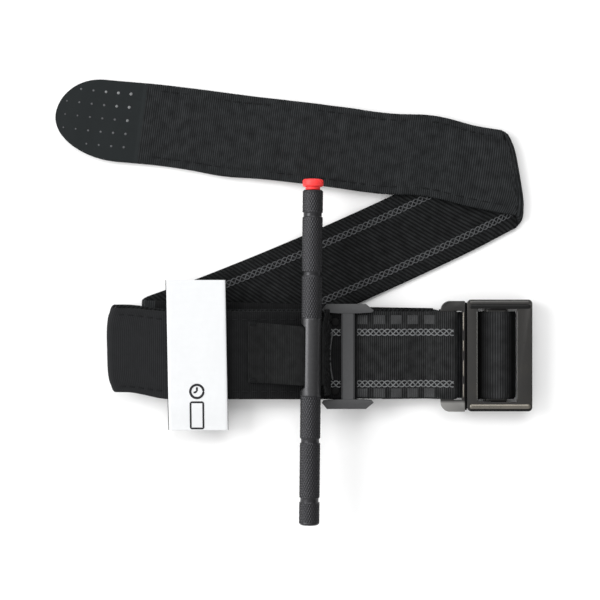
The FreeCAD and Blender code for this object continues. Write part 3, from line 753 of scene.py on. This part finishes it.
grip_path = [(x, bar_mid - around) for x in steps(bar_left - 0.5, bar_right - 1.0, 0.4)]
for turn in steps(-90, 90, 9)[1:-1]:
    a = math.radians(turn)
    grip_path.append((bar_right - 0.9 + around * math.cos(a), bar_mid + around * math.sin(a)))
grip_path += [(x, bar_mid + around) for x in steps(bar_right - 1.0, bar_left + 1.5, 0.2)]
grip_path += [(x, grip_height(x)) for x in steps(bar_left + 1.3, cover_end - 2, 0.215)]
grip_path += [(x, GRIP_MID) for x in steps(cover_end - 3, FOLD_X, 2.0)]
grip_path += fold_path(inner)
grip_path += [(x, FOLD_Z - inner - sag(x)) for x in steps(FOLD_X, UNDER_END, 1.2)]
TRACERS = (9.8, -12.2)


def grip_relief(u, v, facing, row):
    groove = sum(dip(v - t, 0, 0.12, 1.9) for t in TRACERS)
    return 0.08 * uneven(u, v, 17.0) + wave(u, 0.86, 0.11) + groove if facing > 0 else 0.0


TO_HOOK = ("strap", "hook", (58, LOOP_Y, 8), (64, LOOP_Y, 8))
grip = Shell()
ribbon(grip, loop_rows(grip_path), columns(LOOP_HALF, 1.5, TRACERS), grip_relief)
grip.build(
    "loop_webbing_ply",
    [GRIP, TWILL],
    stands_for=("grip_webbing", "under_run", "hook_end_loop"),
    blend=TO_HOOK,
)


def grip_row(x):
    rise = (grip_height(x + 0.2) - grip_height(x - 0.2)) / 0.4
    up = Vector((-rise, 0, 1)).normalized()
    centre = Vector((x, LOOP_Y, grip_height(x)))
    return Row(centre, ALONG_Y, up, ALONG_X, 0, 0, LOOP_HALF, PLY, x)


grip_threads = Shell()
for v in TRACERS:
    tracer(grip_threads, grip_row, cover_end - 10, bar_right - 0.4, v, 0.22)
grip_threads.build("grip_tracers", [GREY_THREAD], blend=TO_HOOK)

TAB_STARTS = (27.2, 34.4, 41.6, 48.8, 56.0)
TAB_LONG, TAB_HALF = 4.7, 1.95
TAB_LINES = (15.2, -16.1)


def tab_relief(u, v, facing, row):
    return wave(u, 0.86, 0.09) + wave(v, 0.9, 0.04) if facing > 0 else 0.0


tabs = Shell()
for start in TAB_STARTS:
    for v in TAB_LINES:
        rows = []
        for x in steps(start, start + TAB_LONG, 0.2):
            under = grip_row(x)
            end = min(x - start, start + TAB_LONG - x)
            full = math.sqrt(min(end / 0.5, 1.0))
            centre = on_row(under, v, 0.02)
            rows.append(under._replace(centre=centre, half=TAB_HALF, thick=0.15 + 0.3 * full))
        ribbon(tabs, rows, columns(TAB_HALF, 0.4), tab_relief)
tabs.build("grip_tabs", [TAB_THREAD], blend=TO_HOOK)


def cover_seam_row(s):
    x = cover_end - s
    left = left_share(x)
    centre = Vector((x + LEFT_SHORTER * left, LOOP_Y + SWAY * left, COVER_MID))
    half = LOOP_HALF - LEFT_NARROWER * left
    return Row(centre, ALONG_Y, UP, -ALONG_X, LEFT_LEAN * left, BOW * left, half, PLY, s)


cover_seams = Shell()
for v in (-COVER_SEAM, COVER_SEAM):
    dashes(cover_seams, cover_seam_row, 1, cover_end - FOLD_X, v, 2.9, 1.2, 0.2, -0.1)
cover_seams.build("loop_cover_seams", [BLACK_THREAD], "strap")

# the webbing's tracers show again in the keeper's left notch
stubs = Shell()
for v in TRACERS:
    tracer(stubs, cover_seam_row, cover_end - 20.2, cover_end - 15.9, v, 0.22)
stubs.build("notch_tracers", [GREY_THREAD], "strap")


# ---- the two strap ends that run to the buckle ----
END_HALF = LOOP_HALF - 0.15
ENDS_REACH = 80.2
HOOK_SEAM = 71.0
ENDS = (FLOOR_MID + 0.02, FLOOR_MID + LEVEL)


def end_rows(start, end, mid):
    rows = []
    for x in steps(start, end, 0.4):
        shift = UNDER_SHIFT * (1 - smooth((x - UNDER_END) / 6))
        centre = Vector((x, LOOP_Y + shift, mid))
        rows.append(Row(centre, ALONG_Y, UP, ALONG_X, 0, 0, END_HALF, STRAP, x))
    return rows


def end_relief(u, v, facing, row):
    return wave(u, 0.9, 0.05)


end_across = columns(END_HALF, 2.4)
near_ends = Shell()
far_ends = Shell()
for mid in ENDS:
    near_rows = end_rows(SAG_END + 1.5, HOOK_SEAM, mid)
    ribbon(near_ends, near_rows, end_across, end_relief, plies=2)
    far_rows = end_rows(HOOK_SEAM - 0.4, ENDS_REACH, mid)
    ribbon(far_ends, far_rows, end_across, end_relief, plies=2)
near_ends.build(
    "strap_ends_at_hook",
    [RIBBED],
    blend=("strap", "hook", (60, LOOP_Y, 4), (70, LOOP_Y, 4)),
)
far_ends.build(
    "strap_ends_at_buckle",
    [RIBBED],
    blend=("hook", "buckle", (72, LOOP_Y, 4), (79, LOOP_Y, 4)),
)


# ---- strap round the slide bar ----
loop_low, loop_high = span("bar_loop")
bar_centre = (loop_low + loop_high) / 2
loop_wide = (loop_high.x - loop_low.x) / 2 + 0.35
loop_tall = (loop_high.z - loop_low.z) / 2
barrel = Shell()
RIBS_ROUND = 48
CORNERS_ROUND = RIBS_ROUND * 4
rings = []
for y in steps(loop_low.y, loop_high.y, 0.7):
    edge = min(y - loop_low.y, loop_high.y - y)
    full = 0.93 + 0.07 * math.sqrt(min(edge / 1.4, 1.0))
    ring = []
    for corner in range(CORNERS_ROUND):
        turn = TURN * corner / CORNERS_ROUND
        rib = 0.1 * math.cos(turn * RIBS_ROUND)
        soft = 0.12 * noise.noise(Vector((math.cos(turn) * 2, y / 7, math.sin(turn) * 2)))
        gathered = 0.4 * smooth((5 - edge) / 3)
        soft += gathered * noise.noise(Vector((math.cos(turn) * 6, y / 1.6, math.sin(turn) * 6)))
        x = (loop_wide * full + rib + soft) * math.cos(turn)
        z = (loop_tall * full - 0.3 + rib + soft * 0.4) * math.sin(turn)
        ring.append((Vector((bar_centre.x + x, y, bar_centre.z + z)), (turn * 7, y)))
    rings.append(ring)
barrel.rings(rings)
barrel.build("bar_webbing", [SIDE_SHADED_LOOP], "bar", ("bar_loop",))


# ---- hard pieces taken from the CAD meshes, with eased edges ----
def eased(name, node, material, body, width):
    """A copy of a CAD node's mesh with its flat faces merged and its edges rounded."""
    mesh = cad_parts[node].data.copy()
    mesh.name = name
    mesh.materials.clear()
    mesh.materials.append(material)
    shape = bmesh.new()
    shape.from_mesh(mesh)
    bmesh.ops.remove_doubles(shape, verts=shape.verts, dist=1e-6)
    bmesh.ops.dissolve_limit(
        shape, angle_limit=math.radians(1), verts=shape.verts, edges=shape.edges
    )
    shape.to_mesh(mesh)
    shape.free()
    mesh.polygons.foreach_set("use_smooth", [True] * len(mesh.polygons))
    mesh.polygons.foreach_set("material_index", [0] * len(mesh.polygons))
    piece = bpy.data.objects.new(name, mesh)
    bpy.context.scene.collection.objects.link(piece)
    easing = piece.modifiers.new("easing", "BEVEL")
    easing.width = width * MM
    easing.segments = 3
    easing.limit_method = "ANGLE"
    easing.angle_limit = math.radians(28)
    easing.harden_normals = True
    return finish_piece(piece, body, (node,))


eased("keeper_clip", "keeper_bracket", KEEPER, "strap", 0.4)
eased("hook_plate_body", "hook_plate", HOOK_STEEL, "hook", 0.35)
eased("frame_body", "buckle_frame", STEEL, "buckle", 0.5)
eased("slide_bar_body", "slide_bar", STEEL, "bar", 0.4)
eased("end_cap", "windlass_end_cap", CAP, "windlass", 0.25)
eased("keeper_rivet_heads", "keeper_rivets", RIVET, "strap", 0.25)

# rolled rims along the frame's long edges, in lighter steel as painted highlights, with darker
# strips beside them as painted shade on the slanted faces
frame_low, frame_high = span("buckle_frame")
for name, y, radius, flat, material in (
    ("frame_rim_upper", frame_high.y - 1.05, 0.85, 0.8, RIM_HIGHLIGHT),
    ("frame_face_upper_shade", frame_high.y - 3.0, 0.95, 0.35, SHADED_STEEL),
    ("frame_rim_lower", frame_low.y + 2.1, 1.1, 0.5, HIGHLIGHT_STEEL),
    ("frame_face_lower_shade", frame_low.y + 0.75, 0.55, 0.45, SHADED_STEEL),
):
    rim = Shell()
    line = []
    for x in steps(frame_low.x + 1.0, frame_high.x - 0.8, 0.6):
        line.append(Vector((x, y, frame_high.z - 0.05)))
    rim.tube(line, radius, 16, flat)
    rim.build(name, [material], "buckle")

# worn edges of the frame's window
# painted highlights along the edges of the frame's window, as thin tubes of the lighter rim steel
WINDOW_LEFT, WINDOW_RIGHT, WINDOW_TOP, WINDOW_LOW = 78.8, 95.6, -4.6, -43.6
edges = Shell()
for x in (WINDOW_LEFT - 0.25, WINDOW_RIGHT + 0.25):
    line = [Vector((x, y, frame_high.z - 0.22)) for y in steps(WINDOW_TOP, WINDOW_LOW, 1.0)]
    edges.tube(line, 0.3, 8)
edges.build("frame_window_edge_highlights", [RIM_HIGHLIGHT], "buckle")

# the hook's fold, seen in the gap beside the frame, in near-black steel as painted shade for that
# gap
HOOK_FOLD_X, HOOK_FOLD_Z = 74.0, 6.4
hook_fold = Shell()
line = [Vector((HOOK_FOLD_X, y, HOOK_FOLD_Z)) for y in steps(-1.4, -47.6, 1.0)]
hook_fold.tube(line, 0.62, 10)
hook_fold.build("hook_fold_edge", [SHADE], "hook")

# teeth along the hook's lip, in the bright steel as painted highlights
TOOTH_X, TOOTH_Z = 72.85, 8.35
TOOTH_SPANS = ((-5.4, -13.7), (-17.5, -22.5), (-26.0, -33.2), (-36.0, -42.2))
teeth = Shell()
for top, bottom in TOOTH_SPANS:
    rings = []
    for y in steps(top, bottom, 0.5):
        end = min(top - y, y - bottom)
        size = math.sqrt(min(max(end, 0.05) / 0.6, 1.0))
        ring = []
        for corner in range(12):
            turn = TURN * corner / 12
            x = TOOTH_X + 0.42 * size * math.cos(turn)
            z = TOOTH_Z + 0.4 * size * math.sin(turn)
            ring.append((Vector((x, y, z)), (y, corner * 0.2)))
        rings.append(ring)
    teeth.rings(rings)
teeth.build("hook_lip_teeth", [HIGHLIGHT_STEEL], "hook")

# ---- windlass rod ----
rod_low, rod_high = span("windlass_rod")
ROD_X, ROD_Z = 7.5, 19.0
rod_centre = Vector((ROD_X, (rod_low.y + rod_high.y) / 2, ROD_Z))
ROD_HALF = 70.25
ROD_RAD = 4.3
ROD_YAW = math.radians(-0.65)
KNURL_PITCH = 1.07
KNURL_ROUND = 25
ROD_CORNERS = KNURL_ROUND * 6
KNURL_DEEP = 0.33
SMOOTH_HALF = 16.0
RINGS_AT = (35.0, 59.8)
RING_HALF, RING_DEEP = 1.1, 0.45
RELIEF_HALF, RELIEF_AT = 12.4, 2.5
SLOT_SIZE = (30, 25, 2.2)


def ridge(x):
    """A triangle wave from 0 to 1, one per unit."""
    return abs(2 * (x - math.floor(x)) - 1)


def rod_radius(y, turn):
    end = ROD_HALF - abs(y)
    radius = ROD_RAD - max(0.0, 0.6 - end)
    for at in RINGS_AT:
        off = abs(abs(y) - at)
        if off < RING_HALF:
            return min(radius, ROD_RAD - RING_DEEP * min((RING_HALF - off) / 0.3, 1.0))
    knurled = smooth((abs(y) - SMOOTH_HALF) / 0.5) * smooth((end - 0.8) / 0.5)
    round_at = turn / TURN * KNURL_ROUND
    height = min(ridge(round_at + y / KNURL_PITCH / 2), ridge(round_at - y / KNURL_PITCH / 2))
    return radius - KNURL_DEEP * knurled * (1 - min(height * 1.6, 1.0))


rod = Shell()
rings = []
for y in steps(-ROD_HALF, ROD_HALF, KNURL_PITCH / 4):
    limit = RELIEF_AT + max(abs(y) - RELIEF_HALF, 0)
    ring = []
    for corner in range(ROD_CORNERS):
        turn = TURN * corner / ROD_CORNERS
        radius = rod_radius(y, turn)
        x = max(radius * math.cos(turn), -limit)
        ring.append((Vector((x, y, radius * math.sin(turn))), (turn * 4, y)))
    rings.append(ring)
# the plain middle of the rod takes a lighter copy of its finish as a painted highlight
rod.rings(rings, lambda k, i: 1 if abs(rings[k][0][0].y) < SMOOTH_HALF else 0)
turned = Matrix.Rotation(ROD_YAW, 4, "Z")
rod.points = [turned @ p + rod_centre * MM for p in rod.points]
rod_piece = rod.build("knurled_rod", [ROD, ROD_PLAIN_LIT], "windlass", ("windlass_rod",))

# slot for the band, cut through the rod
slot_cutter = bpy.data.meshes.new("slot_cutter")
cutter = bmesh.new()
bmesh.ops.create_cube(cutter, size=1)
bmesh.ops.scale(cutter, vec=[length * MM for length in SLOT_SIZE], verts=cutter.verts)
yawed = Matrix.Rotation(ROD_YAW, 3, "Z")
bmesh.ops.rotate(cutter, cent=(0, 0, 0), matrix=yawed, verts=cutter.verts)
bmesh.ops.translate(cutter, vec=rod_centre * MM, verts=cutter.verts)
cutter.to_mesh(slot_cutter)
cutter.free()
cutter_piece = bpy.data.objects.new("slot_cutter", slot_cutter)
bpy.context.scene.collection.objects.link(cutter_piece)
carve = rod_piece.modifiers.new("slot", "BOOLEAN")
carve.operation = "DIFFERENCE"
carve.solver = "EXACT"
carve.object = cutter_piece
bpy.context.view_layer.update()
carved = bpy.data.meshes.new_from_object(
    rod_piece.evaluated_get(bpy.context.evaluated_depsgraph_get())
)
rod_piece.modifiers.clear()
rod_piece.data = carved
bpy.data.objects.remove(cutter_piece)


# ---- tension band ----
anchor_low, anchor_high = span("tension_band_anchor")
BAND_MID = (anchor_low.z + anchor_high.z) / 2
BAND_HALF, NECK_HALF = 13.0, 12.4
band_start = anchor_low.x + 1.4
rise_from = anchor_high.x
rod_left = rod_centre.x - RELIEF_AT - 0.1
rod_right = rod_centre.x + ROD_RAD + 0.1
down_at = 15.7
BAND_SLANT = 2.4


def band_half(x):
    """The band narrows evenly from its sewn end to the rod."""
    return mix(BAND_HALF, NECK_HALF, (x - band_start) / (rod_left - band_start))


def band_relief(u, v, facing, row):
    return wave(u, 0.86, 0.09) + 0.08 * uneven(u, v, 23.0, 6.0)


def band_rows(points, halves):
    rows = []
    run = 0.0
    for k, (x, z) in enumerate(points):
        before = Vector(points[max(k - 1, 0)])
        after = Vector(points[min(k + 1, len(points) - 1)])
        along = (after - before).normalized()
        up = Vector((-along.y, 0, along.x))
        run += (Vector((x, z)) - before).length
        centre = Vector((x, LOOP_Y + BAND_SLANT * min(halves[k] - NECK_HALF, 0.6), z))
        rows.append(Row(centre, ALONG_Y, up, ALONG_X, 0, 0, halves[k], PLY - 0.1, run))
    return rows


def band_piece(name, points, halves, node, body=None, blend=None, relief=band_relief):
    shell = Shell()
    ribbon(shell, band_rows(points, halves), columns(BAND_HALF, 0.45), relief)
    shell.build(name, [BAND], body, (node,), blend)


sewn = [(x, BAND_MID) for x in steps(band_start, rise_from, 0.2)]
band_piece("band_anchor", sewn, [band_half(x) for x, z in sewn], "tension_band_anchor", "strap")
ramp = []
for x in steps(rise_from, rod_left, 0.2):
    share = (x - rise_from) / (rod_left - rise_from)
    ramp.append((x, mix(BAND_MID, rod_centre.z, mix(share, smooth(share), 0.6))))
band_piece(
    "band_left_ramp",
    ramp,
    [band_half(x) for x, z in ramp],
    "tension_band_left",
    blend=("strap", "windlass", (rise_from + 1, LOOP_Y, BAND_MID), (rod_left, LOOP_Y, rod_centre.z)),
)
inside = [(x, rod_centre.z) for x in steps(rod_left, rod_right, 0.3)]
band_piece("band_in_slot", inside, [NECK_HALF] * len(inside), "tension_band_slot", "windlass")


def crumple(u, v, facing, row):
    """Loose folds where the band comes down between the rod and the keeper."""
    folds = 0.9 * noise.noise(Vector((u / 1.2, v / 1.1, 31.0))) + 0.15 * math.sin(v * 1.7 + u)
    return facing * folds * smooth(u / 2.5) * smooth((10.5 - u) / 3.0)


drop = []
for share in steps(0, 1, 0.02):
    x = mix(rod_right, down_at, share) + 0.5 * math.sin(math.pi * share)
    drop.append((x, mix(rod_centre.z, BAND_MID, smooth(share))))
band_piece(
    "band_right_ramp",
    drop,
    [NECK_HALF + 5.8 * smooth(k / 22) for k in range(len(drop))],
    "tension_band_right",
    blend=("windlass", "strap", (rod_right, LOOP_Y, rod_centre.z), (down_at - 1, LOOP_Y, BAND_MID)),
    relief=crumple,
)

tacks = Shell()
TACK_Z = BAND_MID + PLY / 2
BAND_Y = LOOP_Y + BAND_SLANT * (BAND_HALF - NECK_HALF)
for v in (BAND_HALF - 0.9, -BAND_HALF + 0.9):
    for k in range(7):
        x = band_start + 0.6 + k * 0.4
        y = BAND_Y + v
        start, end = Vector((x, y - 0.9, TACK_Z)), Vector((x, y + 0.9, TACK_Z))
        tacks.tube([start, Vector((x + 0.1, y, TACK_Z + 0.15)), end], 0.19, 6)
tacks.build("band_tacks", [BLACK_THREAD], "strap")

# light rim of the keeper's inner sheet, a shallow arc beside the rivets
ARCH_X, ARCH_Y, ARCH_Z, ARCH_HALF = 15.6, -24.3, 12.5, 10.1
arch = Shell()
line = []
for y in steps(-14.2, -34.4, 0.5):
    share = (y - ARCH_Y) / ARCH_HALF
    line.append(Vector((ARCH_X + 1.2 * share * share, y, ARCH_Z - 0.6 * share * share)))
arch.tube(line, 0.4, 8)
arch.build("keeper_arch", [KEEPER], "strap")

# ---- label ----
label_low, label_high = span("label_strap")
LABEL_MID = (label_low.z + label_high.z) / 2
LABEL_TOP_X, LABEL_SLANT = -41.4, 1.15
LABEL_HALF = 12.55
DROOP, DROOP_FROM, DROOP_LONG = 1.3, -44, 12


def droop_at(y):
    """How far the label has sunk at y, past the strap's edge."""
    return DROOP * smooth((DROOP_FROM - y) / DROOP_LONG)


def label_x(y):
    return LABEL_TOP_X + LABEL_SLANT * (label_high.y - y) / (label_high.y - label_low.y)


def label_row(y):
    """The label lies flat on the strap and droops a little at its free end."""
    slope = droop_at(y + 0.5) - droop_at(y - 0.5)
    up = Vector((0, slope, 1)).normalized()
    centre = Vector((label_x(y), y, LABEL_MID - droop_at(y)))
    return Row(centre, ALONG_X, up, ALONG_Y, 0, 0, LABEL_HALF, 1.0, y)


def label_relief(u, v, facing, row):
    return 0.12 * uneven(u, v, 41.0, 16.0) + wave(u, 0.5, 0.012)


label = Shell()
label_rows = [label_row(y) for y in steps(label_high.y, label_low.y, 0.25)]
ribbon(label, label_rows, columns(LABEL_HALF, 1.2), label_relief)
label.build("write_on_label", [WHITE_TAPE], "label", ("label_strap",))


def backing_relief(u, v, facing, row):
    return 0.05 * uneven(u, v, 5.0, 1.4)


backing_low, backing_high = span("label_backing")
BACKING_MID = (backing_low.z + backing_high.z) / 2
backing = Shell()
rows = []
for y in steps(backing_high.y, backing_low.y, 0.3):
    centre = Vector((label_x(y) - 0.2, y, BACKING_MID - droop_at(y)))
    rows.append(Row(centre, ALONG_X, UP, ALONG_Y, 0, 0, LABEL_HALF + 0.25, 0.75, y))
ribbon(backing, rows, columns(LABEL_HALF, 1.2), backing_relief)
backing.build("label_backing_tape", [HOOK_TAPE], "strap", ("label_backing",))

# generic clock mark and a write-in box on the label
mark = Shell()
CLOCK = Vector((-40.9, -39.2, 0))
CLOCK_RADIUS = 2.8
CLOCK_HANDS = ((0, 1.9), (-1.4, -0.6))
INK_LIFT = 0.03
SPACE_LEFT, SPACE_RIGHT, SPACE_TOP, SPACE_LOW = -43.6, -38.2, -43.8, -55.0


def ink_line(points, radius):
    line = [on_row(label_row(y), x - label_x(y), INK_LIFT) for x, y in points]
    mark.tube(line, radius, 8, 0.4)


ring = []
for a in steps(0, TURN, 0.15):
    ring.append((CLOCK.x + CLOCK_RADIUS * math.cos(a), CLOCK.y + CLOCK_RADIUS * math.sin(a)))
ink_line(ring, 0.5)
for x, y in CLOCK_HANDS:
    ink_line([(CLOCK.x + x * t, CLOCK.y + y * t) for t in steps(0, 1, 0.25)], 0.42)
for x in (SPACE_LEFT, SPACE_RIGHT):
    ink_line([(x, y) for y in steps(SPACE_TOP, SPACE_LOW, 0.5)], 0.4)
for y in (SPACE_TOP, SPACE_LOW):
    ink_line([(x, y) for x in steps(SPACE_LEFT, SPACE_RIGHT, 0.5)], 0.4)
mark.build("label_mark", [INK], "label")

# the stiff sheet inside the cover stays as the CAD has it
inner_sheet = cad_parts["stiffener_plate"]
inner_sheet.data.materials.clear()
inner_sheet.data.materials.append(INNER)

# ---- floor, light, camera ----
floor_mesh = bpy.data.meshes.new("floor")
FAR = 6.0
corners = [(-FAR, -FAR, 0), (FAR, -FAR, 0), (FAR, FAR, 0), (-FAR, FAR, 0)]
floor_mesh.from_pydata(corners, [], [(0, 1, 2, 3)])
floor_material, floor_tree, floor_shader = new_material(
    "paper_floor", (0.93, 0.93, 0.93), 0.9, specular=0.1
)
floor_place = floor_tree.nodes.new("ShaderNodeTexCoord").outputs["Object"]
floor_grain = speckle(floor_tree, floor_place, 40)
tint(floor_tree, floor_shader, floor_grain, (0.92, 0.92, 0.92), (0.95, 0.95, 0.95))
floor_mesh.materials.append(floor_material)
floor = bpy.data.objects.new("floor", floor_mesh)
bpy.context.scene.collection.objects.link(floor)


def softbox(name, place, size, power):
    lamp = bpy.data.lights.new(name, "AREA")
    lamp.size = size
    lamp.energy = power
    light = bpy.data.objects.new(name, lamp)
    light.location = place
    light.rotation_euler = (-Vector(place)).to_track_quat("-Z", "Y").to_euler()
    bpy.context.scene.collection.objects.link(light)


softbox("left_softbox", (-1.1, 0.25, 0.9), 0.7, 11)
softbox("top_softbox", (0.1, 0.9, 1.2), 0.9, 7)

# the studio is a little brighter to the left and to the front
world = bpy.data.worlds.new("studio")
bpy.context.scene.world = world
world.use_nodes = True
sky = world.node_tree
split = sky.nodes.new("ShaderNodeSeparateXYZ")
sky.links.new(sky.nodes.new("ShaderNodeTexCoord").outputs["Generated"], split.inputs[0])
leftward = math_node(sky, "MULTIPLY", split.outputs[0], -0.6)
nearward = math_node(sky, "MULTIPLY", split.outputs[1], -0.15)
level = math_node(sky, "ADD", math_node(sky, "ADD", leftward, nearward), 0.85)
sky.nodes["Background"].inputs["Color"].default_value = (1, 1, 1, 1)
sky.links.new(level, sky.nodes["Background"].inputs["Strength"])

# the camera looks straight down
CAMERA_AT = Vector((2.87, -0.39, 605))
camera_data = bpy.data.cameras.new("camera")
camera_data.lens = 83.7
camera_data.sensor_width = 36
camera = bpy.data.objects.new("camera", camera_data)
camera.location = CAMERA_AT * MM
bpy.context.scene.collection.objects.link(camera)
bpy.context.scene.camera = camera
bpy.context.scene.view_settings.view_transform = "Standard"
